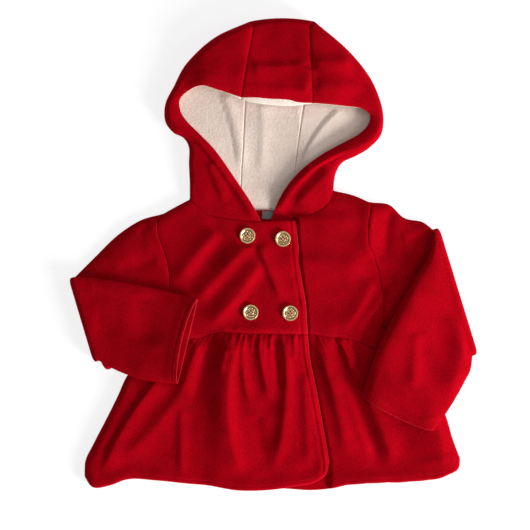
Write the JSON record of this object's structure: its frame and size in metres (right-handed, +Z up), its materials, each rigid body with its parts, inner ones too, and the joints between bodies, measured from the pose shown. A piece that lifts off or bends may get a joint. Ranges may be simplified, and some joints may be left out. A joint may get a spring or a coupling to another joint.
{
  "type": "fleece jacket",
  "caption": "Small child's double-breasted fleece jacket with a lined hood and gathered skirt, laid flat with its sleeves folded over the front.",
  "frame": {"origin": "centre of the bounding box on the surface that the jacket lies on", "axes": "+Z up from that surface, +Y from the hem towards the hood, +X across the jacket"},
  "size_m": [0.506, 0.5871, 0.0253],
  "materials": {
    "red_fleece": "short brushed nap with a soft sheen",
    "cream_lining": "short cream pile",
    "gold_button": "cast, dished and lightly worn gold finish",
    "grey_label": "plain woven tape"
  },
  "bodies": {
    "root": {"back_bodice": "red_fleece", "back_skirt": "red_fleece", "front_over_bodice": "red_fleece", "front_under_bodice": "red_fleece", "front_over_skirt": "red_fleece", "front_under_skirt": "red_fleece", "sleeve_left": "red_fleece", "sleeve_right": "red_fleece", "hood_side_left": "red_fleece", "hood_centre": "red_fleece", "hood_side_right": "red_fleece", "lining_side_left": "cream_lining", "lining_centre": "cream_lining", "lining_side_right": "cream_lining", "neck_label": "grey_label", "button_1": "gold_button", "button_2": "gold_button", "button_3": "gold_button", "button_4": "gold_button"}
  },
  "joints": []
}
